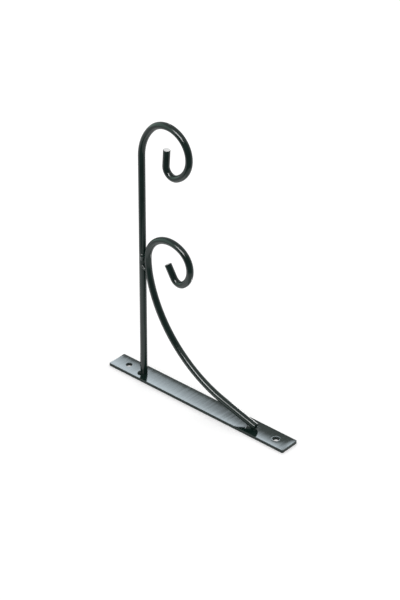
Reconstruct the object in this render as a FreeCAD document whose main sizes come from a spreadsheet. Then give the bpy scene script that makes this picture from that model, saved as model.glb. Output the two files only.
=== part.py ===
"""Wall bracket for hanging plant pots.

A flat-bar wall plate carries a straight round arm and a curved round brace. Both rods end in scroll hooks,
and weld beads hold the three pieces of steel together. The bracket is drawn lying on its wall plate: the back
of the plate is Z = 0, the arm runs along +Z (away from the wall in use) and the plate lies along X, with the
arm near its -X end (the upper end in use) and the brace's foot towards +X. The arm lies in the plane Y = 0. The
brace is bent in one plane too, which goes through the arm's axis and is turned a little, so that the brace's
foot stands beside the middle of the plate. The origin is the centre of the plate's back face. Millimetres and
degrees.
"""
import FreeCAD, Part
import math
import os
import Sketcher

# Driving dimensions: name, value, what it measures
DIMENSIONS = (
    ("plate_length", 205.0, "flat bar, end to end"),
    ("plate_width", 20.0, "flat bar, edge to edge"),
    ("plate_thickness", 3.0, "flat bar, back to front"),
    ("plate_edge_radius", 0.7, "rounding of the rolled edges"),
    ("plate_corner_radius", 0.9, "dressed corners of the sheared ends"),
    ("hole_diameter", 6.0, "screw holes, drilled through"),
    ("hole_end_distance", 15.5, "hole centre to the nearer plate end"),
    ("rod_diameter", 6.3, "round bar with its coat of paint"),
    ("rod_end_radius", 0.4, "rounding of the hooks' cut ends"),
    ("rod_gap", 0.1, "root gap between brace and arm where they meet"),
    ("arm_end_distance", 34.0, "arm axis to the plate's -X end"),
    ("arm_straight", 223.0, "straight part of the arm above the plate"),
    ("arm_crown_radius", 44.0, "first, wide bend over the top"),
    ("arm_crown_turn", 45.0, "angle of that bend"),
    ("arm_bowl_radius", 24.2, "round bowl of the hook"),
    ("arm_bowl_turn", 199.0, "angle of the bowl"),
    ("arm_curl_radius", 8.7, "tight curl at the bottom of the hook"),
    ("arm_curl_turn", 119.5, "angle of the curl"),
    ("arm_tail", 15.5, "straight end after the curl"),
    ("contact_height", 126.5, "where the brace meets the arm, above the plate's back"),
    ("brace_neck_radius", 85.0, "bend just below the meeting point"),
    ("brace_neck_turn", 13.0, "angle of that bend"),
    ("brace_end_distance", 37.7, "middle of the brace's cut end to the plate's +X end"),
    ("brace_foot_rise", 2.7, "middle of the cut end above the plate's front"),
    ("brace_foot_offset", 1.1, "middle of the cut end beside the plate's middle, towards -Y"),
    ("brace_foot_run", 38.0, "straight part next to the foot"),
    ("brace_crown_radius", 26.4, "first bend of the lower hook"),
    ("brace_crown_turn", 119.5, "angle of that bend"),
    ("brace_bowl_radius", 19.9, "round bowl of the lower hook"),
    ("brace_bowl_turn", 113.5, "angle of the bowl"),
    ("brace_curl_radius", 7.5, "tight curl of the lower hook"),
    ("brace_curl_turn", 95.5, "angle of the curl"),
    ("brace_tail", 13.5, "straight end after the curl"),
    ("arm_bead_radius", 2.8, "half thickness of the bead at the arm's foot"),
    ("arm_bead_start", 130.0, "angle from +X where that bead starts"),
    ("arm_bead_turn", 106.0, "how far it goes round the arm"),
    ("foot_bead_length", 14.0, "beads beside the brace's foot, along the plate"),
    ("foot_bead_setback", 6.0, "middle of these beads behind the brace's cut end"),
    ("foot_bead_root", 0.3, "each bead's edge from the middle of the brace, under it"),
    ("front_bead_leg", 3.0, "half width and height of the bead on the -Y side"),
    ("back_bead_leg", 4.2, "half width and height of the bead on the +Y side"),
    ("tack_depth", 2.3, "half thickness of a tack weld"),
    ("tack_root", 0.2, "back of a tack weld in front of the rods' plane"),
    ("upper_tack_place", 3.5, "upper tack above the meeting point"),
    ("upper_tack_length", 7.0, "upper tack, its longer way"),
    ("upper_tack_width", 5.4, "upper tack, its shorter way"),
    ("upper_tack_tilt", 8.0, "lean of its longer way from the arm towards -X"),
    ("lower_tack_place", -10.0, "lower tack above the meeting point, so below it"),
    ("lower_tack_length", 8.0, "lower tack, its longer way"),
    ("lower_tack_width", 4.6, "lower tack, its shorter way"),
    ("lower_tack_tilt", 40.0, "lean of its longer way from the arm towards -X"),
)

doc = FreeCAD.newDocument("wall_pot_bracket")


# Spreadsheet of driving dimensions
def make_sheet():
    sheet = doc.addObject("Spreadsheet::Sheet", "sizes")
    for row, (alias, value, meaning) in enumerate(DIMENSIONS, start=1):
        sheet.set(f"A{row}", meaning)
        sheet.set(f"B{row}", str(value))
        sheet.setAlias(f"B{row}", alias)
    doc.recompute()
    return sheet


SIZES = make_sheet()

# Places that several pieces share, as expressions on the sheet
ARM_X = "(sizes.arm_end_distance - sizes.plate_length / 2)"
CONTACT_X = f"({ARM_X} + sizes.rod_diameter + sizes.rod_gap)"
GROOVE_X = f"({ARM_X} + (sizes.rod_diameter + sizes.rod_gap) / 2)"
FOOT_X = "(sizes.plate_length / 2 - sizes.brace_end_distance)"
FOOT_Z = "(sizes.plate_thickness + sizes.brace_foot_rise)"
ROD_RADIUS = "(sizes.rod_diameter / 2)"


def size(alias):
    return float(getattr(SIZES, alias))


def value_of(expression):
    """The present value of an expression on the sheet."""
    return float(SIZES.evalExpression(expression))


# Helpers for sketches: the numbers by which a sketch knows its origin and the points of its lines and arcs
ORIGIN = -1
START = 1
END = 2
CENTRE = 3
UP = FreeCAD.Vector(0, 0, 1)
TOLERANCE = 0.001


def point(x, y):
    """A point by the two axes of its sketch."""
    return FreeCAD.Vector(x, y, 0)


def add_sketch(body, name, plane_role):
    sketch = body.newObject("Sketcher::SketchObject", name)
    plane = [item for item in body.Origin.OriginFeatures if item.Role == plane_role][0]
    sketch.AttachmentSupport = [(plane, "")]
    sketch.MapMode = "FlatFace"
    return sketch


def bind(sketch, kind, *geometry, name, expression):
    """Add a dimension to a sketch and tie it to the sheet."""
    start_value = value_of(expression)
    if kind == "Angle":
        start_value = math.radians(start_value)
        expression = f"{expression} * 1 deg"
    sketch.addConstraint(Sketcher.Constraint(kind, *geometry, start_value))
    index = sketch.ConstraintCount - 1
    sketch.renameConstraint(index, name)
    sketch.setExpression(f"Constraints.{name}", expression)


def place(sketch, geometry, position, x, y, name):
    """Tie a point of a sketch to its distances from the origin."""
    bind(sketch, "DistanceX", ORIGIN, START, geometry, position, name=name + "_x", expression=x)
    bind(sketch, "DistanceY", ORIGIN, START, geometry, position, name=name + "_y", expression=y)


def add_rectangle(sketch, low_x, low_y, high_x, high_y):
    """A rectangle whose two opposite corners are tied to the sheet."""
    low = point(value_of(low_x), value_of(low_y))
    high = point(value_of(high_x), value_of(high_y))
    corners = [low, point(high.x, low.y), high, point(low.x, high.y)]
    sides = []
    for corner, following in zip(corners, corners[1:] + corners[:1]):
        sides.append(sketch.addGeometry(Part.LineSegment(corner, following)))
    for side, following in zip(sides, sides[1:] + sides[:1]):
        sketch.addConstraint(Sketcher.Constraint("Coincident", side, END, following, START))
    for side, direction in zip(sides, ("Horizontal", "Vertical", "Horizontal", "Vertical")):
        sketch.addConstraint(Sketcher.Constraint(direction, side))
    place(sketch, sides[0], START, low_x, low_y, "low_corner")
    place(sketch, sides[2], START, high_x, high_y, "high_corner")


def is_upright(edge):
    return isinstance(edge.Curve, Part.Line) and edge.Curve.Direction.isParallel(UP, TOLERANCE)


def pick_edges(shape, wanted):
    return [f"Edge{index}" for index, edge in enumerate(shape.Edges, start=1) if wanted(edge)]


def put(feature, **places):
    """Tie a feature's place to the sheet, along the axes that are named."""
    for axis, expression in places.items():
        feature.setExpression(f"Placement.Base.{axis}", expression)
    return feature


class BentRod:
    """The centre line of a bent rod: straight runs and clockwise bends, each tangent to the last."""

    def __init__(self, sketch, start, heading):
        self.sketch = sketch
        self.at = start
        self.heading = heading
        self.last = None
        self.last_end = None
        self.length = 0.0

    def join(self, geometry, first, last):
        if self.last is not None:
            self.sketch.addConstraint(
                Sketcher.Constraint("Tangent", self.last, self.last_end, geometry, first))
        self.last = geometry
        self.last_end = last
        return geometry

    def run(self, length):
        angle = math.radians(self.heading)
        to = self.at + point(length * math.cos(angle), length * math.sin(angle))
        geometry = self.sketch.addGeometry(Part.LineSegment(self.at, to))
        self.at = to
        self.length += length
        return self.join(geometry, START, END)

    def bend(self, radius, turn):
        """A clockwise bend: an arc is drawn anticlockwise, so it ends where the rod enters it."""
        angle = math.radians(self.heading)
        centre = self.at + point(radius * math.sin(angle), -radius * math.cos(angle))
        enters = angle + math.pi / 2
        leaves = enters - math.radians(turn)
        circle = Part.Circle(centre, UP, radius)
        geometry = self.sketch.addGeometry(Part.ArcOfCircle(circle, leaves, enters))
        self.at = centre + point(radius * math.cos(leaves), radius * math.sin(leaves))
        self.heading -= turn
        self.length += radius * math.radians(turn)
        return self.join(geometry, END, START)

    def sized_run(self, alias):
        geometry = self.run(size(alias))
        bind(self.sketch, "Distance", geometry, name=alias, expression=f"sizes.{alias}")
        return geometry

    def sized_bend(self, stem):
        geometry = self.bend(size(stem + "_radius"), size(stem + "_turn"))
        bind(self.sketch, "Radius", geometry, name=stem + "_radius", expression=f"sizes.{stem}_radius")
        bind(self.sketch, "Angle", geometry, name=stem + "_turn", expression=f"sizes.{stem}_turn")
        return geometry


def sweep_rod(body, path, rod):
    """Sweep the round bar along its centre line: a square cut at its foot, a rounded one at its tip."""
    doc.recompute()
    section = body.newObject("Sketcher::SketchObject", body.Name + "_section")
    section.AttachmentSupport = [(path, "Edge1")]
    section.MapMode = "NormalToEdge"
    section.MapPathParameter = 0.0
    circle = section.addGeometry(Part.Circle(point(0, 0), UP, size("rod_diameter") / 2))
    section.addConstraint(Sketcher.Constraint("Coincident", circle, CENTRE, ORIGIN, START))
    bind(section, "Diameter", circle, name="bar_diameter", expression="sizes.rod_diameter")
    doc.recompute()
    bar = body.newObject("PartDesign::AdditivePipe", body.Name + "_bar")
    bar.Profile = section
    bar.Spine = path
    doc.recompute()
    section_area = math.pi * size("rod_diameter") ** 2 / 4
    if abs(bar.Shape.Volume / (section_area * rod.length) - 1) > TOLERANCE:
        raise RuntimeError(f"{body.Label} does not hold its section times its length")

    tip = FreeCAD.Vector(rod.at.x, 0, rod.at.y)
    tip_edges = pick_edges(bar.Shape, lambda edge: edge.CenterOfMass.isEqual(tip, TOLERANCE))
    rounded = body.newObject("PartDesign::Fillet", body.Name + "_tip")
    rounded.Base = (bar, tip_edges)
    rounded.setExpression("Radius", "sizes.rod_end_radius")
    doc.recompute()
    body.Tip = rounded


# Wall plate: flat bar with dressed ends and two screw holes
def make_wall_plate():
    body = doc.addObject("PartDesign::Body", "wall_plate")
    outline = add_sketch(body, "plate_outline", "XY_Plane")
    add_rectangle(outline, "-sizes.plate_length / 2", "-sizes.plate_width / 2",
                  "sizes.plate_length / 2", "sizes.plate_width / 2")
    bar = body.newObject("PartDesign::Pad", "flat_bar")
    bar.Profile = outline
    bar.setExpression("Length", "sizes.plate_thickness")
    doc.recompute()

    # The sheared ends have their four corners dressed.
    corner_edges = pick_edges(bar.Shape, is_upright)
    dressed = body.newObject("PartDesign::Fillet", "dressed_corners")
    dressed.Base = (bar, corner_edges)
    dressed.setExpression("Radius", "sizes.plate_corner_radius")
    doc.recompute()

    # Rolling leaves the bar's edges rounded, front and back.
    rim_edges = pick_edges(dressed.Shape, lambda edge: not is_upright(edge))
    rolled = body.newObject("PartDesign::Fillet", "rolled_edges")
    rolled.Base = (dressed, rim_edges)
    rolled.setExpression("Radius", "sizes.plate_edge_radius")
    doc.recompute()

    holes = add_sketch(body, "screw_holes", "XY_Plane")
    for name, sign in (("upper", -1), ("lower", 1)):
        from_middle = f"{sign} * (sizes.plate_length / 2 - sizes.hole_end_distance)"
        circle = holes.addGeometry(
            Part.Circle(point(value_of(from_middle), 0), UP, size("hole_diameter") / 2))
        holes.addConstraint(Sketcher.Constraint("PointOnObject", circle, CENTRE, ORIGIN))
        bind(holes, "DistanceX", ORIGIN, START, circle, CENTRE, name=name + "_place", expression=from_middle)
        bind(holes, "Diameter", circle, name=name + "_bore", expression="sizes.hole_diameter")
    drilled = body.newObject("PartDesign::Pocket", "drilled_holes")
    drilled.Profile = holes
    drilled.Type = "ThroughAll"
    drilled.Reversed = True
    doc.recompute()
    body.Tip = drilled
    return body


# Arm: a straight rod ending in the upper scroll hook
def make_arm_rod():
    body = doc.addObject("PartDesign::Body", "arm_rod")
    path = add_sketch(body, "arm_path", "XZ_Plane")
    rod = BentRod(path, point(value_of(ARM_X), size("plate_thickness")), heading=90)
    straight = rod.sized_run("arm_straight")
    place(path, straight, START, ARM_X, "sizes.plate_thickness", "foot")
    path.addConstraint(Sketcher.Constraint("Vertical", straight))
    for stem in ("arm_crown", "arm_bowl", "arm_curl"):
        rod.sized_bend(stem)
    rod.sized_run("arm_tail")
    sweep_rod(body, path, rod)
    return body


# Brace: a curved rod from the plate to the arm, ending in the lower scroll hook
def make_brace_rod():
    body = doc.addObject("PartDesign::Body", "brace_rod")
    path = add_sketch(body, "brace_path", "XZ_Plane")
    foot = point(value_of(FOOT_X), value_of(FOOT_Z))
    contact = point(value_of(CONTACT_X), size("contact_height"))

    # The sweep between the foot's straight run and the neck follows from where both of them are.
    neck_turn = math.radians(size("brace_neck_turn"))
    inward = point(math.cos(neck_turn), math.sin(neck_turn))
    neck_end = contact + size("brace_neck_radius") * (point(1, 0) - inward)
    to_foot = foot - neck_end
    run = size("brace_foot_run")
    sweep_radius = (to_foot.dot(to_foot) - run ** 2) / (2 * to_foot.dot(inward))
    to_centre = neck_end + sweep_radius * inward - foot
    heading = math.degrees(math.atan2(to_centre.y, to_centre.x) + math.atan2(sweep_radius, run))

    rod = BentRod(path, foot, heading)
    straight = rod.sized_run("brace_foot_run")
    place(path, straight, START, FOOT_X, FOOT_Z, "foot")
    rod.bend(sweep_radius, heading - 90 - size("brace_neck_turn"))
    neck = rod.sized_bend("brace_neck")
    path.addConstraint(Sketcher.Constraint("Horizontal", neck, CENTRE, neck, START))
    place(path, neck, START, CONTACT_X, "sizes.contact_height", "contact")
    for stem in ("brace_crown", "brace_bowl", "brace_curl"):
        rod.sized_bend(stem)
    rod.sized_run("brace_tail")
    sweep_rod(body, path, rod)

    # The lower edge of the cut end is ground flat to sit on the plate's front face.
    below = add_sketch(body, "below_plate_front", "XZ_Plane")
    add_rectangle(below, "-sizes.plate_length / 2", "-sizes.plate_thickness",
                  "sizes.plate_length / 2", "sizes.plate_thickness")
    ground = body.newObject("PartDesign::Pocket", "foot_flat")
    ground.Profile = below
    ground.Type = "ThroughAll"
    ground.Midplane = True
    doc.recompute()
    body.Tip = ground

    # The whole brace is turned about the arm's axis, which takes its foot off the middle of the plate.
    skew = f"asin(sizes.brace_foot_offset / ({FOOT_X} - {ARM_X}))"
    body.Placement.Rotation = FreeCAD.Rotation(-UP, value_of(skew))
    body.setExpression("Placement.Rotation.Angle", skew)
    return put(body, x=f"{ARM_X} * (1 - cos({skew}))", y=f"{ARM_X} * sin({skew})")


# Weld beads: rounded deposits of metal, cut to the faces of the pieces that they join
def make_front_space():
    """The room in front of the plate, where the beads at the rods' feet lie."""
    room = doc.addObject("Part::Box", "front_space")
    for property_name in ("Length", "Height"):
        room.setExpression(property_name, "sizes.plate_length")
    room.setExpression("Width", "sizes.plate_width")
    return put(room, x="-sizes.plate_length / 2", y="-sizes.plate_width / 2", z="sizes.plate_thickness")


def lay_on_plate(deposit, front_space):
    """Keep what lies on the plate's front face."""
    laid = doc.addObject("Part::Common", deposit.Name + "_laid")
    laid.Base = deposit
    laid.Tool = front_space
    return laid


def fit_bead(name, deposit, *rods):
    """Cut a deposit back to the rods beside it, so that it lies against their faces."""
    for count, rod in enumerate(rods, start=1):
        cut = doc.addObject("Part::Cut", f"{name}_against_{count}")
        cut.Base = deposit
        cut.Tool = rod
        deposit = cut
    deposit.Label = name
    return deposit


def make_lump(name, half_x, half_y, half_z, **places):
    lump = doc.addObject("Part::Ellipsoid", name)
    for property_name, expression in (("Radius1", half_z), ("Radius2", half_x), ("Radius3", half_y)):
        lump.setExpression(property_name, expression)
    return put(lump, **places)


def make_arm_foot_weld(arm, front_space):
    """A bead that goes part of the way round the arm's foot, with rounded ends."""
    ring = doc.addObject("Part::Torus", "arm_foot_ring")
    ring.setExpression("Radius1", ROD_RADIUS)
    ring.setExpression("Radius2", "sizes.arm_bead_radius")
    ring.setExpression("Angle3", "sizes.arm_bead_turn * 1 deg")
    put(ring, x=ARM_X, z="sizes.plate_thickness")
    ring.setExpression("Placement.Rotation.Angle", "sizes.arm_bead_start * 1 deg")
    stop = "(sizes.arm_bead_start + sizes.arm_bead_turn)"
    ends = []
    for name, angle in (("start", "sizes.arm_bead_start"), ("stop", stop)):
        ball = doc.addObject("Part::Sphere", f"arm_foot_bead_{name}")
        ball.setExpression("Radius", "sizes.arm_bead_radius")
        put(ball, x=f"{ARM_X} + {ROD_RADIUS} * cos({angle} * 1 deg)",
            y=f"{ROD_RADIUS} * sin({angle} * 1 deg)", z="sizes.plate_thickness")
        ends.append(ball)
    bead = doc.addObject("Part::MultiFuse", "arm_foot_bead")
    bead.Shapes = [ring] + ends
    return fit_bead("arm_foot_weld", lay_on_plate(bead, front_space), arm)


def make_brace_foot_weld(name, side, leg, brace, front_space):
    """A bead in the corner between the brace's foot and the plate, on one side."""
    from_brace = f"{side} * (sizes.{leg} + sizes.foot_bead_root)"
    lump = make_lump(
        name + "_deposit",
        "sizes.foot_bead_length / 2", f"sizes.{leg}", f"sizes.{leg}",
        x=f"{FOOT_X} - sizes.foot_bead_setback", y=f"{from_brace} - sizes.brace_foot_offset",
        z="sizes.plate_thickness")
    return fit_bead(name, lay_on_plate(lump, front_space), brace)


def make_scroll_tack(name, stem, arm, brace):
    """A leaning tack weld in the groove between arm and brace, on the side that faces -Y."""
    lump = make_lump(
        name + "_deposit",
        f"sizes.{stem}_width / 2", "sizes.tack_depth", f"sizes.{stem}_length / 2",
        x=GROOVE_X, y="-(sizes.tack_depth + sizes.tack_root)",
        z=f"sizes.contact_height + sizes.{stem}_place")
    across = FreeCAD.Vector(0, -1, 0)
    lump.Placement.Rotation = FreeCAD.Rotation(across, size(stem + "_tilt"))
    lump.setExpression("Placement.Rotation.Angle", f"sizes.{stem}_tilt * 1 deg")
    return fit_bead(name, lump, arm, brace)


# Assembly
wall_plate = make_wall_plate()
arm_rod = make_arm_rod()
brace_rod = make_brace_rod()
front_space = make_front_space()
pieces = [
    wall_plate,
    arm_rod,
    brace_rod,
    make_arm_foot_weld(arm_rod, front_space),
    make_brace_foot_weld("brace_foot_weld_front", -1, "front_bead_leg", brace_rod, front_space),
    make_brace_foot_weld("brace_foot_weld_back", 1, "back_bead_leg", brace_rod, front_space),
    make_scroll_tack("scroll_tack_upper", "upper_tack", arm_rod, brace_rod),
    make_scroll_tack("scroll_tack_lower", "lower_tack", arm_rod, brace_rod),
]
doc.recompute()

# Checks before anything is written
for item in doc.Objects:
    faults = [state for state in item.State if state in ("Invalid", "Error")]
    if faults:
        raise RuntimeError(f"{item.Label} is {', '.join(faults)}")
for piece in pieces:
    shape = piece.Shape
    if shape.isNull() or not shape.isValid() or len(shape.Solids) != 1:
        raise RuntimeError(f"{piece.Label} is not one sound solid")
    print(f"{piece.Label}: {shape.Volume:.1f} mm3, {len(shape.Faces)} faces")

# One file for each piece
os.makedirs("parts", exist_ok=True)
for piece in pieces:
    piece.Shape.exportStep(f"parts/{piece.Label}.step")
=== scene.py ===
import math
import bmesh
import bpy
from mathutils import Matrix, Vector


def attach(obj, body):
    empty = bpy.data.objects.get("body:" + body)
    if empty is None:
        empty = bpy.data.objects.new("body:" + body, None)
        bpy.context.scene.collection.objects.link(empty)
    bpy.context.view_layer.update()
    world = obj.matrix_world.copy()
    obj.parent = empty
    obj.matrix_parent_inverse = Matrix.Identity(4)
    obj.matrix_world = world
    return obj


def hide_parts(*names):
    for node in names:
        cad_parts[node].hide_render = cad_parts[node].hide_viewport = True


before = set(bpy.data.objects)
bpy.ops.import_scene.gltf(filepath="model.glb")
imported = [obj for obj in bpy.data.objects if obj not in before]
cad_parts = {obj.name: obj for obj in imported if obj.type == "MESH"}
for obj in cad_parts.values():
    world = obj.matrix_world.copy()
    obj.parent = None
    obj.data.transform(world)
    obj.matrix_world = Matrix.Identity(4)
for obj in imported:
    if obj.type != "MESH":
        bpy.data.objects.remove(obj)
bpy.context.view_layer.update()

# Wall plate
# The steel plate that is screwed to the wall: 20 x 3 mm flat bar, sheared to length, with dressed corners
# and two drilled holes. Its front is slightly hollow and turned up at the +X end. Its enamel was brushed on
# across the bar, and stands in a lip round the hole at that end.
MM = 0.001
plate_length = 205 * MM
plate_width = 20 * MM
plate_thickness = 3 * MM
plate_hollow = 0.45 * MM
foot_end_hollow = 0.65 * MM
END_SHARPNESS = 28
END_TWIST = 0.5
plate_edge_radius = 0.12 * MM
plate_corner_radius = 0.9 * MM
PLATE_ROUNDING = 5
hole_radius = 2.85 * MM
HOLE_TAPER = 0.92
hole_end_distance = 15.5 * MM
hole_edge_radius = 0.25 * MM
HOLE_ROUNDING = 4
bore_reach = 1.1 * hole_radius
paint_lip_height = 0.11 * MM
paint_lip_radius = 3.8 * MM
paint_lip_width = 0.42 * MM
collar_radius = 4.5 * MM
ring_step = 0.25 * MM
RING_COUNT = 5
PATCH_SEGMENTS = 16
PATCH_CUTS = 6
MIDDLE_CUTS = 35
FACE_WEIGHT = 100
hair = 0.1 * MM
sharp_angle = math.radians(60)
ENAMEL_DEEP = (0.0045, 0.0125, 0.0105, 1.0)
ENAMEL_THIN = (0.0085, 0.0200, 0.0170, 1.0)
FILM_STOPS = (0.3, 0.7)
FILM_NOISE = {"Scale": 95.0, "Detail": 4.0, "Roughness": 0.6}
GLOSS_NOISE = {"Scale": 310.0, "Detail": 3.0}
MARK_DETAIL = 2.0
ENAMEL_SPECULAR = 0.28


def link_node(tree, kind, inputs=None, **settings):
    """Add a node with its settings and its inputs, which are constants or sockets to link from."""
    node = tree.nodes.new(kind)
    for name, value in settings.items():
        setattr(node, name, value)
    for name, value in (inputs or {}).items():
        if isinstance(value, bpy.types.NodeSocket):
            tree.links.new(value, node.inputs[name])
        else:
            node.inputs[name].default_value = value
    return node


def graded(tree, value, from_range, to_range):
    """A value carried from one range to another and held at both ends."""
    grade = link_node(tree, "ShaderNodeMapRange", {
        "Value": value, "From Min": from_range[0], "From Max": from_range[1],
        "To Min": to_range[0], "To Max": to_range[1]})
    return grade.outputs["Result"]


def gloss_enamel(name, mark_scale, mark_height, mark_stretch, roughness_range):
    """Gloss dark green enamel: an uneven film, brush or spray marks and a slightly uneven shine."""
    material = bpy.data.materials.new(name)
    material.use_nodes = True
    tree = material.node_tree
    place = link_node(tree, "ShaderNodeTexCoord").outputs["Object"]

    film = link_node(tree, "ShaderNodeTexNoise", {"Vector": place, **FILM_NOISE})
    film_colour = link_node(tree, "ShaderNodeValToRGB", {"Fac": film.outputs["Fac"]})
    film_colours = (ENAMEL_DEEP, ENAMEL_THIN)
    for stop, position, colour in zip(film_colour.color_ramp.elements, FILM_STOPS, film_colours):
        stop.position = position
        stop.color = colour

    gloss = link_node(tree, "ShaderNodeTexNoise", {"Vector": place, **GLOSS_NOISE})
    roughness = graded(tree, gloss.outputs["Fac"], (0, 1), roughness_range)

    stretched = link_node(tree, "ShaderNodeMapping", {"Vector": place, "Scale": mark_stretch})
    marks = link_node(tree, "ShaderNodeTexNoise", {
        "Vector": stretched.outputs["Vector"], "Scale": mark_scale, "Detail": MARK_DETAIL})
    mark_bump = link_node(tree, "ShaderNodeBump", {
        "Height": marks.outputs["Fac"], "Strength": 1.0, "Distance": mark_height})

    shader = tree.nodes["Principled BSDF"].inputs
    shader["Specular IOR Level"].default_value = ENAMEL_SPECULAR
    tree.links.new(film_colour.outputs["Color"], shader["Base Color"])
    tree.links.new(roughness, shader["Roughness"])
    tree.links.new(mark_bump.outputs["Normal"], shader["Normal"])
    return material


def put_in_scene(name, mesh, material):
    """Turn a bmesh into an object of one material."""
    data = bpy.data.meshes.new(name)
    mesh.to_mesh(data)
    mesh.free()
    data.materials.append(material)
    piece = bpy.data.objects.new(name, data)
    bpy.context.scene.collection.objects.link(piece)
    return piece


def finish_piece(name, mesh, material, node):
    """Turn a bmesh into a shaded piece that rides on the bracket and stands for its CAD node."""
    bmesh.ops.recalc_face_normals(mesh, faces=mesh.faces)
    for face in mesh.faces:
        face.smooth = True
    piece = put_in_scene(name, mesh, material)
    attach(piece, "root")
    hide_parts(node)
    return piece


def even_shading(piece):
    """Broad faces keep their own normals, so that only the rounded edges shade round."""
    modifier = piece.modifiers.new("even_shading", "WEIGHTED_NORMAL")
    modifier.mode = "FACE_AREA"
    modifier.weight = FACE_WEIGHT


def only(kind, geom):
    """The elements of one kind among those that an operator gives back."""
    return [item for item in geom if isinstance(item, kind)]


def edges_of(verts):
    """Each edge that meets some vertices, once and in a fixed order."""
    return list(dict.fromkeys(edge for vert in verts for edge in vert.link_edges))


def lay_grid(mesh, segments, middle, size):
    """Lay a flat grid of faces, of a given size, about its middle, and give back its vertices."""
    place = Matrix.Translation(middle) @ Matrix.Diagonal((*size, 1, 1))
    laid = bmesh.ops.create_grid(
        mesh, x_segments=segments[0], y_segments=segments[1], size=0.5, matrix=place)
    return laid["verts"]


def fill_between(mesh, loops, cuts):
    """Fill between two loops of edges with rings of faces."""
    bridged = bmesh.ops.bridge_loops(mesh, edges=loops)
    bridge_edges = dict.fromkeys(edge for face in bridged["faces"] for edge in face.edges)
    spokes = [edge for edge in bridge_edges if edge not in loops]
    bmesh.ops.subdivide_edges(mesh, edges=spokes, cuts=cuts, use_grid_fill=True)


def round_off(mesh, edges, radius, segments):
    """Round edges off."""
    bmesh.ops.bevel(mesh, geom=edges, offset=radius, segments=segments, profile=0.5,
                    affect="EDGES", material=-1)


plate = bmesh.new()
facing_sides = []
hole_x = plate_length / 2 - hole_end_distance
patch_size = (2 * hole_end_distance, plate_width)
ring_radii = [collar_radius - ring * ring_step for ring in range(RING_COUNT)] + [hole_radius]
for end in (-1, 1):
    hole_middle = (end * hole_x, 0, 0)
    hole_place = Matrix.Translation(hole_middle)
    patch = lay_grid(plate, (PATCH_SEGMENTS, PATCH_SEGMENTS), hole_middle, patch_size)
    inner = [vert for vert in patch if not vert.is_boundary]
    rim = [vert for vert in patch if vert.is_boundary]
    bmesh.ops.delete(plate, geom=inner, context="VERTS")
    rim_edges = edges_of(rim)
    facing_x = end * (hole_x - hole_end_distance)
    facing_sides += [
        edge for edge in rim_edges if all(abs(vert.co.x - facing_x) < hair for vert in edge.verts)]
    collar = bmesh.ops.create_circle(
        plate, segments=4 * PATCH_SEGMENTS, radius=collar_radius, matrix=hole_place)
    ring_edges = edges_of(collar["verts"])
    fill_between(plate, rim_edges + ring_edges, PATCH_CUTS)
    for wider, narrower in zip(ring_radii, ring_radii[1:]):
        drawn_in = bmesh.ops.extrude_edge_only(plate, edges=ring_edges)["geom"]
        ring_verts = only(bmesh.types.BMVert, drawn_in)
        shrink = (narrower / wider, narrower / wider, 1)
        bmesh.ops.scale(plate, vec=shrink, space=hole_place.inverted(), verts=ring_verts)
        ring_edges = [
            edge for edge in only(bmesh.types.BMEdge, drawn_in)
            if all(vert in ring_verts for vert in edge.verts)]
fill_between(plate, facing_sides, MIDDLE_CUTS)
raised = bmesh.ops.extrude_face_region(plate, geom=list(plate.faces))["geom"]
bmesh.ops.translate(plate, verts=only(bmesh.types.BMVert, raised), vec=(0, 0, plate_thickness))

corner_edges = [
    edge for edge in plate.edges
    if abs(edge.verts[0].co.z - edge.verts[1].co.z) > plate_thickness / 2
    and abs(abs(edge.verts[0].co.x) - plate_length / 2) < hair
    and abs(abs(edge.verts[0].co.y) - plate_width / 2) < hair]
round_off(plate, corner_edges, plate_corner_radius, PLATE_ROUNDING)
bmesh.ops.recalc_face_normals(plate, faces=plate.faces)


def from_hole(co):
    """How far a point is from the middle of the nearer hole."""
    return math.hypot(abs(co.x) - hole_x, co.y)


sharp_edges = [edge for edge in plate.edges if edge.is_manifold and edge.calc_face_angle() > sharp_angle]
bore_rims = [edge for edge in sharp_edges if from_hole(edge.verts[0].co) < bore_reach]
outer_rims = [edge for edge in sharp_edges if from_hole(edge.verts[0].co) >= bore_reach]
round_off(plate, outer_rims, plate_edge_radius, PLATE_ROUNDING)
round_off(plate, bore_rims, hole_edge_radius, HOLE_ROUNDING)


def plate_front(x, y):
    """Height of the plate's hollow front face, which turns up at the +X end, more on its +Y side."""
    across = min(1, abs(y) / (plate_width / 2))
    to_end = min(1, max(0, x) / (plate_length / 2))
    depth = plate_hollow + (foot_end_hollow - plate_hollow) * to_end
    turned_up = to_end ** END_SHARPNESS * (1 + END_TWIST * y / (plate_width / 2))
    return plate_thickness - depth * (1 - across ** 2) * (1 - turned_up)


for vert in plate.verts:
    lip = 0
    if vert.co.x > 0:
        from_lip = (from_hole(vert.co) - paint_lip_radius) / paint_lip_width
        lip = paint_lip_height * math.exp(-from_lip ** 2)
    if vert.co.z < plate_thickness / 2 and from_hole(vert.co) < bore_reach:
        nearer_hole_x = math.copysign(hole_x, vert.co.x)
        vert.co.x = nearer_hole_x + (vert.co.x - nearer_hole_x) * HOLE_TAPER
        vert.co.y *= HOLE_TAPER
    vert.co.z *= (plate_front(vert.co.x, vert.co.y) + lip) / plate_thickness

plate_enamel = gloss_enamel(
    "enamel_on_flat_bar", mark_scale=280.0, mark_height=0.058 * MM, mark_stretch=(1.0, 0.15, 1.0),
    roughness_range=(0.08, 0.14))
wall_plate = finish_piece("painted_wall_plate", plate, plate_enamel, "wall_plate")
even_shading(wall_plate)

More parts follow.
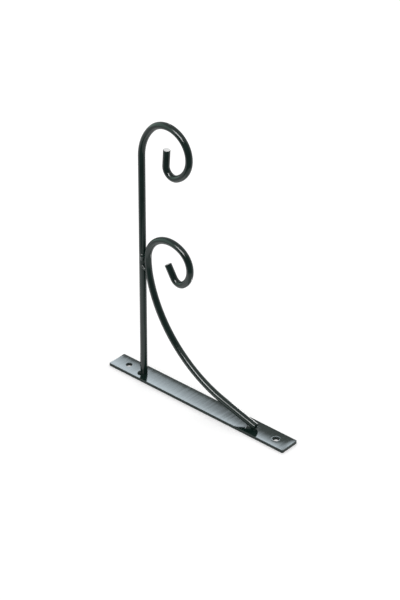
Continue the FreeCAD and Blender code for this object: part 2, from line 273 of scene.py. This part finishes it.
# Arm
# One length of 6 mm round steel bar, 6.5 mm thick over its paint, which is welded square onto the plate.
# Its end is bent cold round formers of three sizes: a wide crown, the bowl of the hook and a tight curl,
# with a short straight tail.
rod_radius = 3.25 * MM
rod_end_radius = 0.4 * MM
ROD_END_ROUNDING = 3
ROD_SEGMENTS = 48
degrees_per_ring = 3.0
run_per_ring = 8 * MM
upright_heading = 90
arm_x = -68.5 * MM
arm_straight = 223 * MM
arm_bends = ((44 * MM, 45), (24.2 * MM, 199), (8.7 * MM, 119.5))
arm_tail = 15.5 * MM
arm_sink = 0.5 * MM


class BentBar:
    """A round bar in the plane Y = 0, drawn ring by ring from its foot through runs and clockwise bends.

    Its heading and the turn of each bend are in degrees.
    """

    def __init__(self, x, z, heading):
        self.mesh = bmesh.new()
        self.at = Vector((x, 0, z))
        self.heading = math.radians(heading)
        square_to_heading = Matrix.Rotation(math.pi / 2 - self.heading, 4, "Y")
        foot = bmesh.ops.create_circle(
            self.mesh, segments=ROD_SEGMENTS, radius=rod_radius,
            matrix=Matrix.Translation(self.at) @ square_to_heading)["verts"]
        self.foot_edges = edges_of(foot)
        self.ring = list(foot) + self.foot_edges

    def run(self, length):
        """Go straight on."""
        step_count = max(1, round(length / run_per_ring))
        along = Vector((math.cos(self.heading), 0, math.sin(self.heading)))
        swept = bmesh.ops.spin(
            self.mesh, geom=self.ring, cent=self.at, axis=(0, 1, 0), angle=0,
            dvec=along * length / step_count, steps=step_count)
        self.ring = swept["geom_last"]
        self.at = self.at + along * length

    def bend(self, radius, turn):
        """Turn clockwise round a former."""
        step_count = max(1, round(turn / degrees_per_ring))
        centre = self.at + radius * Vector((math.sin(self.heading), 0, -math.cos(self.heading)))
        swept = bmesh.ops.spin(
            self.mesh, geom=self.ring, cent=centre, axis=(0, 1, 0), angle=math.radians(turn),
            steps=step_count)
        self.ring = swept["geom_last"]
        self.heading -= math.radians(turn)
        self.at = centre + radius * Vector((-math.sin(self.heading), 0, math.cos(self.heading)))

    def cut_off(self):
        """Close both ends and break their sharp edges."""
        tip_edges = only(bmesh.types.BMEdge, self.ring)
        bmesh.ops.edgeloop_fill(self.mesh, edges=self.foot_edges)
        bmesh.ops.edgeloop_fill(self.mesh, edges=tip_edges)
        bmesh.ops.recalc_face_normals(self.mesh, faces=self.mesh.faces)
        round_off(self.mesh, tip_edges + self.foot_edges, rod_end_radius, ROD_END_ROUNDING)


arm = BentBar(arm_x, plate_thickness - arm_sink, upright_heading)
arm.run(arm_straight + arm_sink)
for bend_radius, bend_turn in arm_bends:
    arm.bend(bend_radius, bend_turn)
arm.run(arm_tail)
arm.cut_off()
rod_enamel = gloss_enamel(
    "enamel_on_round_bar", mark_scale=260.0, mark_height=0.0026 * MM, mark_stretch=(1.0, 1.0, 1.0),
    roughness_range=(0.09, 0.14))
arm_rod = finish_piece("painted_arm", arm.mesh, rod_enamel, "arm_rod")
even_shading(arm_rod)

# Brace
# A second length of the same bar. Its cut end is welded to the plate, a little beside the middle. It sweeps
# up to the arm, is tacked to it, and ends in a smaller hook, bent as the arm's is.
brace_foot_x = 65.09 * MM
brace_foot_z = 5.62 * MM
brace_foot_heading = 164.71
brace_foot_run = 38.3 * MM
brace_sweep_radius = 123.92 * MM
brace_neck_turn = 13.0
brace_neck_radius = 85 * MM
brace_bends = ((26.4 * MM, 119.5), (19.9 * MM, 113.5), (7.5 * MM, 95.5))
brace_tail = 13.5 * MM
brace_skew = 0.473
brace = BentBar(brace_foot_x, brace_foot_z, brace_foot_heading)
brace.run(brace_foot_run)
brace.bend(brace_sweep_radius, brace_foot_heading - upright_heading - brace_neck_turn)
brace.bend(brace_neck_radius, brace_neck_turn)
for bend_radius, bend_turn in brace_bends:
    brace.bend(bend_radius, bend_turn)
brace.run(brace_tail)
brace.cut_off()
bmesh.ops.rotate(brace.mesh, verts=brace.mesh.verts, cent=(arm_x, 0, 0),
                 matrix=Matrix.Rotation(math.radians(-brace_skew), 3, "Z"))
brace_rod = finish_piece("painted_brace", brace.mesh, rod_enamel, "brace_rod")
even_shading(brace_rod)

# Weld beads
# Five hand-laid deposits of weld metal under the same enamel. One lies round the arm's foot and one on
# each side of the brace's foot, running out thin on the plate. Two are tacks in the groove between the
# rods, each a pair of frozen drops that ran together.
BEAD_STEPS = 60
BEAD_RIBS = 24
bead_seat = 0.02 * MM
weld_enamel = gloss_enamel(
    "enamel_on_weld", mark_scale=500.0, mark_height=0.006 * MM, mark_stretch=(1.0, 1.0, 1.0),
    roughness_range=(0.09, 0.14))


def bead_sheet():
    """A sheet of faces, one unit each way, to be laid over a weld."""
    mesh = bmesh.new()
    lay_grid(mesh, (BEAD_STEPS, BEAD_RIBS), (0.5, 0.5, 0), (1, 1))
    return mesh


def root_bead(mesh):
    """Give a laid sheet walls and a flat back inside the plate."""
    drawn = bmesh.ops.extrude_face_region(mesh, geom=list(mesh.faces))["geom"]
    for vert in only(bmesh.types.BMVert, drawn):
        vert.co.z = plate_thickness / 2


arm_bead_from = 130
arm_bead_to = 288
arm_swell_at = 238
arm_swell_spread = 32
arm_bead_height = 0.9 * MM
arm_swell_height = 1.4 * MM
arm_bead_reach = 0.6 * MM
arm_swell_reach = 2.3 * MM
ARM_BEAD_BLUNTNESS = 4
least_reach = 0.01 * MM
arm_bead_inside = 0.8 * rod_radius
arm_bead = bead_sheet()
for vert in arm_bead.verts:
    share, out = vert.co.x, vert.co.y
    angle = arm_bead_from + share * (arm_bead_to - arm_bead_from)
    swell = math.exp(-((angle - arm_swell_at) / arm_swell_spread) ** 2)
    end = math.sqrt(max(0, 1 - abs(2 * share - 1) ** ARM_BEAD_BLUNTNESS))
    thick = arm_bead_height + arm_swell_height * swell
    toe = rod_radius + (arm_bead_reach + arm_swell_reach * swell) * end
    reach = arm_bead_inside + out * (toe - arm_bead_inside)
    to_toe = max(0, (reach - rod_radius) / (toe - rod_radius + least_reach))
    crown = math.sqrt(max(0, 1 - to_toe ** 2))
    place = Matrix.Rotation(math.radians(angle), 3, "Z") @ Vector((reach, 0, 0))
    x, y = arm_x + place.x, place.y
    vert.co = (x, y, plate_front(x, y) - bead_seat + thick * crown * end)
root_bead(arm_bead)
finish_piece("arm_foot_bead", arm_bead, weld_enamel, "arm_foot_weld")

bead_ripple = 0.03 * MM
ripple_pitch = 1.5 * MM
GRIP_SHARE = 0.25
grip_angle = math.radians(60)
END_TOE = 0.35


def run_out(share):
    """From nothing to full with no step at either end."""
    share = max(0, min(1, share))
    return share * share * (3 - 2 * share)


def foot_bead(side_name, side, along, toes, tapers):
    """Weld metal between the brace's side and the plate, steep on the rod and running out on the plate.

    along, toes and tapers each give two values, for the bead's end towards the arm and for its other end.
    """
    mesh = bead_sheet()
    start, stop = along
    slope = math.tan(math.radians(180 - brace_foot_heading))
    grip = rod_radius * math.cos(grip_angle)
    for vert in mesh.verts:
        share, out = vert.co.x, vert.co.y
        x = start + share * (stop - start)
        middle = -(x - arm_x) * math.tan(math.radians(brace_skew))
        rod_z = brace_foot_z + (brace_foot_x - x) * slope
        grip_z = rod_z - rod_radius * math.sin(grip_angle)
        end = min(run_out((x - start) / tapers[0]), run_out((stop - x) / tapers[1]))
        toe = toes[0] + share * (toes[1] - toes[0])
        toe = grip + (toe - grip) * (END_TOE + (1 - END_TOE) * end)
        fall = max(0, (out - GRIP_SHARE) / (1 - GRIP_SHARE))
        hold = min(1, out / GRIP_SHARE)
        y = middle + side * (grip * hold + (toe - grip) * fall)
        face = plate_front(x, y)
        height = (grip_z - face) * (1 - fall) ** 2 + (1 - hold) * (rod_z - grip_z)
        ripple = bead_ripple * math.sin(2 * math.pi * x / ripple_pitch) * 4 * fall * (1 - fall)
        vert.co = (x, y, face - bead_seat + (height + ripple) * end)
    root_bead(mesh)
    return finish_piece(
        "brace_foot_bead_" + side_name, mesh, weld_enamel, "brace_foot_weld_" + side_name)


foot_beads = [
    foot_bead("front", side=-1, along=(55.2 * MM, 65.0 * MM), toes=(6.4 * MM, 6.0 * MM),
              tapers=(2.6 * MM, 1.6 * MM)),
    foot_bead("back", side=1, along=(56.0 * MM, 65.4 * MM), toes=(6.6 * MM, 6.2 * MM),
              tapers=(2.6 * MM, 2.2 * MM))]

DROP_SUBDIVISIONS = 4
drop_voxel = 0.22 * MM
SETTLE_FACTOR = 0.5
SETTLE_STEPS = 30


def lay_tack(name, drops, node):
    """Run drops together into one tack: place and half sizes in millimetres, lean about Y in degrees."""
    mesh = bmesh.new()
    for place, halves, lean in drops:
        place_m = [value * MM for value in place]
        halves_m = [half * MM for half in halves]
        leaning = Matrix.Translation(place_m) @ Matrix.Rotation(math.radians(lean), 4, "Y")
        drop_shape = leaning @ Matrix.Diagonal((*halves_m, 1))
        bmesh.ops.create_icosphere(
            mesh, subdivisions=DROP_SUBDIVISIONS, radius=1.0, matrix=drop_shape)
    tack = finish_piece(name, mesh, weld_enamel, node)
    melt = tack.modifiers.new("run_together", "REMESH")
    melt.mode = "VOXEL"
    melt.voxel_size = drop_voxel
    melt.use_smooth_shade = True
    settle = tack.modifiers.new("settle", "SMOOTH")
    settle.factor = SETTLE_FACTOR
    settle.iterations = SETTLE_STEPS
    return tack


upper_drops = (
    ((-67.0, -1.7, 127.9), (2.5, 2.9, 3.1), 0),
    ((-67.2, -2.2, 125.4), (2.0, 1.9, 2.8), 0))
upper_tack = lay_tack("upper_tack", upper_drops, "scroll_tack_upper")
lower_drops = (
    ((-65.9, -2.4, 117.4), (2.7, 1.7, 1.8), 38),
    ((-64.0, -2.5, 116.1), (2.6, 1.6, 1.5), 18))
lower_tack = lay_tack("lower_tack", lower_drops, "scroll_tack_lower")

# Studio floor
# A wide sheet of matt white paper, laid a hair below the bracket's plate. It shows white and keeps the
# bracket's soft shadow.
WHITE = (1.0, 1.0, 1.0, 1.0)
PAPER_WHITE = (0.92, 0.92, 0.92, 1.0)
FLOOR_GLOW = 0.20
floor_size = 8.0
floor_drop = 0.05 * MM


def bare_material(name):
    """A material with no nodes yet."""
    material = bpy.data.materials.new(name)
    material.use_nodes = True
    material.node_tree.nodes.clear()
    return material


def stage_piece(name, mesh, material):
    """A piece of the studio, which is no part of the bracket."""
    piece = put_in_scene(name, mesh, material)
    return piece


def worked_out(tree, operation, *values):
    """The result of one step of arithmetic on sockets and numbers."""
    return link_node(tree, "ShaderNodeMath", dict(enumerate(values)), operation=operation).outputs[0]


def seen_rays(tree):
    """One for rays that show the background: straight, mirrored or through something clear."""
    path = link_node(tree, "ShaderNodeLightPath").outputs
    straight_or_mirrored = worked_out(tree, "MAXIMUM", path["Is Camera Ray"], path["Is Glossy Ray"])
    return worked_out(tree, "MAXIMUM", straight_or_mirrored, path["Is Transmission Ray"])


paper = bare_material("white_paper")
paper_tree = paper.node_tree
paper_share = worked_out(paper_tree, "MULTIPLY", seen_rays(paper_tree), FLOOR_GLOW)
paper_face = link_node(paper_tree, "ShaderNodeBsdfDiffuse", {"Color": PAPER_WHITE})
paper_glow = link_node(paper_tree, "ShaderNodeEmission", {"Color": WHITE, "Strength": paper_share})
paper_both = link_node(paper_tree, "ShaderNodeAddShader", {
    0: paper_face.outputs[0], 1: paper_glow.outputs[0]})
link_node(paper_tree, "ShaderNodeOutputMaterial", {"Surface": paper_both.outputs[0]})
floor_mesh = bmesh.new()
lay_grid(floor_mesh, (1, 1), (0, 0, -floor_drop), (floor_size, floor_size))
stage_piece("studio_floor", floor_mesh, paper)

# Reflected room
# What the gloss mirrors and the picture doesn't show: dark cloth, laid on the floor in front and hung
# round the camera, and the brightly lit paper close by. Only mirrored rays meet these pieces.
CLOTH_TONE = 0.18
NEAR_PAPER_TONE = 1.75
CLOTH_STEPS = 24
cloth_inner = 0.23
cloth_outer = 2.4
cloth_height = 2.4
cloth_lift = 2 * MM
floor_cloth_from = 75
floor_cloth_to = 212
hung_cloth_from = 60
hung_cloth_to = 200
near_paper_from = (-0.21, -0.19)
near_paper_to = (0.01, -0.012)
near_paper_lift = 1 * MM


def glow_material(name, strength):
    """A material that only shines, evenly and white."""
    material = bare_material(name)
    tree = material.node_tree
    glow = link_node(tree, "ShaderNodeEmission", {"Color": WHITE, "Strength": strength})
    link_node(tree, "ShaderNodeOutputMaterial", {"Surface": glow.outputs[0]})
    return material


def only_mirrored(piece):
    """Leave a piece of the studio to mirrored rays, so that it neither shows nor shades anything."""
    piece.visible_camera = False
    piece.visible_diffuse = False
    piece.visible_shadow = False
    piece.visible_transmission = False


def hang_round(name, material, corner_pair, azimuth_from, azimuth_to):
    """Sweep a line round the bracket, between two azimuths from +Y towards +X, in degrees."""
    mesh = bmesh.new()
    turned = Matrix.Rotation(math.radians(-azimuth_from), 4, "Z")
    ends = [mesh.verts.new(turned @ Vector((0, distance, height))) for distance, height in corner_pair]
    edge = mesh.edges.new(ends)
    bmesh.ops.spin(mesh, geom=ends + [edge], cent=(0, 0, 0), axis=(0, 0, 1),
                   angle=math.radians(azimuth_from - azimuth_to), steps=CLOTH_STEPS)
    only_mirrored(stage_piece(name, mesh, material))


cloth = glow_material("dark_cloth", CLOTH_TONE)
on_floor = ((cloth_inner, cloth_lift), (cloth_outer, cloth_lift))
hung_up = ((cloth_outer, 0), (cloth_outer, cloth_height))
hang_round("floor_cloth", cloth, on_floor, floor_cloth_from, floor_cloth_to)
hang_round("hung_cloth", cloth, hung_up, hung_cloth_from, hung_cloth_to)
near_paper = bmesh.new()
near_middle = [(low + high) / 2 for low, high in zip(near_paper_from, near_paper_to)]
near_size = [high - low for low, high in zip(near_paper_from, near_paper_to)]
lay_grid(near_paper, (1, 1), (*near_middle, near_paper_lift), near_size)
only_mirrored(stage_piece("near_paper", near_paper, glow_material("lit_paper", NEAR_PAPER_TONE)))

# Studio light
# A white room with a soft lamp behind, and lit panels that only the gloss mirrors: a wide one in front for
# the thin lines along the rods, a sheet close behind for the plate, a pale screen on the left for the rods,
# and two small ones for the arm's cut end and the brace's foot.
ROOM_LIGHT = 0.9
ROOM_WHITE = 1.0
world = bpy.data.worlds.new("white_room")
bpy.context.scene.world = world
world.use_nodes = True
room_tree = world.node_tree
room_tree.nodes.clear()
room_fill = link_node(room_tree, "ShaderNodeBackground", {"Color": WHITE, "Strength": ROOM_LIGHT})
room_shown = link_node(room_tree, "ShaderNodeBackground", {"Color": WHITE, "Strength": ROOM_WHITE})
room_mix = link_node(room_tree, "ShaderNodeMixShader", {
    "Fac": seen_rays(room_tree), 1: room_fill.outputs[0], 2: room_shown.outputs[0]})
link_node(room_tree, "ShaderNodeOutputWorld", {"Surface": room_mix.outputs[0]})


def light_panel(name, place, facing, size, radiance, colour=(1.0, 1.0, 1.0)):
    """A lit panel at a place, which faces a way, with its width level and the same radiance all over."""
    lamp = bpy.data.lights.new(name, "AREA")
    lamp.shape = "RECTANGLE"
    lamp.size, lamp.size_y = size
    lamp.energy = radiance * math.pi * size[0] * size[1]
    lamp.color = colour
    panel = bpy.data.objects.new(name, lamp)
    aim = Vector(facing).to_track_quat("-Z", "Y").to_matrix().to_4x4()
    panel.matrix_world = Matrix.Translation(place) @ aim
    panel.visible_camera = False
    bpy.context.scene.collection.objects.link(panel)
    return panel


def shine_on(panel, pieces):
    """Let a panel be mirrored in some pieces alone."""
    panel.visible_diffuse = False
    lit = bpy.data.collections.new(panel.name + "_mirrors")
    for piece in pieces:
        lit.objects.link(piece)
    panel.light_linking.receiver_collection = lit


def shade_panel(panel):
    """Give a panel nodes, and give back their tree and the place of each point on the panel."""
    panel.data.use_nodes = True
    tree = panel.data.node_tree
    return tree, link_node(tree, "ShaderNodeNewGeometry").outputs["Position"]


def set_glow(tree, strength):
    """Let a socket drive how brightly a panel shines at each place."""
    tree.links.new(strength, tree.nodes["Emission"].inputs["Strength"])


panel_dim_x = -0.55
panel_full_x = -0.15
PANEL_DIM = 0.35
front_panel = light_panel(
    "front_panel", place=(0.197, -1.40, 1.414), facing=(-0.098, 0.70, -0.707), size=(1.5, 0.8),
    radiance=20.0)
shine_on(front_panel, [wall_plate, arm_rod, brace_rod, *foot_beads, upper_tack, lower_tack])
panel_tree, panel_place = shade_panel(front_panel)
panel_x = link_node(panel_tree, "ShaderNodeSeparateXYZ", {0: panel_place}).outputs["X"]
set_glow(panel_tree, graded(panel_tree, panel_x, (panel_dim_x, panel_full_x), (PANEL_DIM, 1.0)))

TIP_TONE = 18.0
tip_beam = math.radians(9.0)
beam_gain = math.tan(tip_beam / 2) / (math.tan(tip_beam / 2) - tip_beam / 2)
tip_panel = light_panel(
    "tip_panel", place=(-0.153, 0.146, 0.361), facing=(0.517, -0.663, -0.540), size=(0.05, 0.05),
    radiance=TIP_TONE / beam_gain)
tip_panel.data.spread = tip_beam
shine_on(tip_panel, [arm_rod])

back_lamp = light_panel(
    "back_lamp", place=(-0.92, 1.06, 1.2), facing=(0.5, -0.576, -0.65), size=(1.0, 0.8), radiance=1.6)
back_lamp.visible_glossy = False

SHEET_FULL = 8.9
SHEET_LOW = 0.8
SHEET_COLOUR = (0.8, 0.92, 1.0)
LOSS_LEFT = 30.0
LOSS_RIGHT = 47.0
loss_side_from = -0.012
loss_side_to = 0.056
loss_from_z = 0.30
sheet_rise_from = 0.20
sheet_rise_to = 0.29
sheet_width = 0.56
sheet_bottom = 0.02
sheet_height = 0.78
sheet_top = 0.52
SHEET_TOP_TILT = 0.8
sheet_distance = 0.6
forward = Vector((-0.656, 0.755, 0))
sideways = Vector((0.755, 0.656, 0))
sheet_middle = sheet_distance * forward + Vector((0, 0, sheet_bottom + sheet_height / 2))
lit_sheet = light_panel(
    "lit_sheet", place=sheet_middle, facing=-forward, size=(sheet_width, sheet_height), radiance=1.0,
    colour=SHEET_COLOUR)
shine_on(lit_sheet, [wall_plate, *foot_beads])
sheet_tree, sheet_place = shade_panel(lit_sheet)
sheet_z = link_node(sheet_tree, "ShaderNodeSeparateXYZ", {0: sheet_place}).outputs["Z"]
across_sheet = link_node(
    sheet_tree, "ShaderNodeVectorMath", {0: sheet_place, 1: sideways}, operation="DOT_PRODUCT")
sheet_side = across_sheet.outputs["Value"]
loss_rate = graded(sheet_tree, sheet_side, (loss_side_from, loss_side_to), (LOSS_LEFT, LOSS_RIGHT))
above_full = worked_out(sheet_tree, "SUBTRACT", sheet_z, loss_from_z)
upper_loss = worked_out(sheet_tree, "MULTIPLY", above_full, loss_rate)
upper_glow = worked_out(sheet_tree, "SUBTRACT", SHEET_FULL, upper_loss)
lower_glow = graded(sheet_tree, sheet_z, (sheet_rise_from, sheet_rise_to), (SHEET_LOW, SHEET_FULL))
lesser_glow = worked_out(sheet_tree, "MINIMUM", upper_glow, lower_glow)
sheet_glow = worked_out(sheet_tree, "MAXIMUM", lesser_glow, 0.0)
top_edge = worked_out(sheet_tree, "MULTIPLY_ADD", sheet_side, SHEET_TOP_TILT, sheet_top)
below_top = worked_out(sheet_tree, "LESS_THAN", sheet_z, top_edge)
set_glow(sheet_tree, worked_out(sheet_tree, "MULTIPLY", sheet_glow, below_top))

SCREEN_TONE = 1.3
SCREEN_COLOUR = (0.575, 1.0, 0.788)
screen_azimuth = math.radians(237.5)
screen_distance = 2.4
screen_width = 3.68
screen_height = 2.4
to_screen = Vector((math.sin(screen_azimuth), math.cos(screen_azimuth), 0))
screen_middle = screen_distance * to_screen + Vector((0, 0, screen_height / 2))
side_screen = light_panel(
    "side_screen", place=screen_middle, facing=-to_screen, size=(screen_width, screen_height),
    radiance=SCREEN_TONE, colour=SCREEN_COLOUR)
shine_on(side_screen, [arm_rod, brace_rod])

foot_card = light_panel(
    "foot_card", place=(0.034, 0.079, 0.012), facing=(0.24, -0.97, 0.0), size=(0.06, 0.024), radiance=12.0)
shine_on(foot_card, [brace_rod])

# Camera
# Set where the photograph was taken from: a long lens, about two metres away and 32 degrees above the
# floor. Its depth of field stays off and its frame isn't shifted.
view_azimuth = 41.13
view_elevation = 32.22
view_roll = 0.28
camera_place = (1.05885, -1.21411, 1.12418)
FOCAL_LENGTH = 132.0
SENSOR_WIDTH = 36.0
far_clip = 20.0
lens = bpy.data.cameras.new("photo_view")
lens.lens = FOCAL_LENGTH
lens.sensor_width = SENSOR_WIDTH
lens.clip_end = far_clip
camera = bpy.data.objects.new("photo_view", lens)
turned = Matrix.Rotation(math.radians(view_azimuth), 4, "Z")
tilted = Matrix.Rotation(math.radians(90 - view_elevation), 4, "X")
rolled = Matrix.Rotation(math.radians(view_roll), 4, "Z")
camera.matrix_world = Matrix.Translation(camera_place) @ turned @ tilted @ rolled
bpy.context.scene.collection.objects.link(camera)
bpy.context.scene.camera = camera
bpy.context.scene.view_settings.view_transform = "Standard"

# Sizes
# The view layer is brought up to date, so that the boxes of the CAD model and of the dressed bracket are
# current.
bpy.context.view_layer.update()
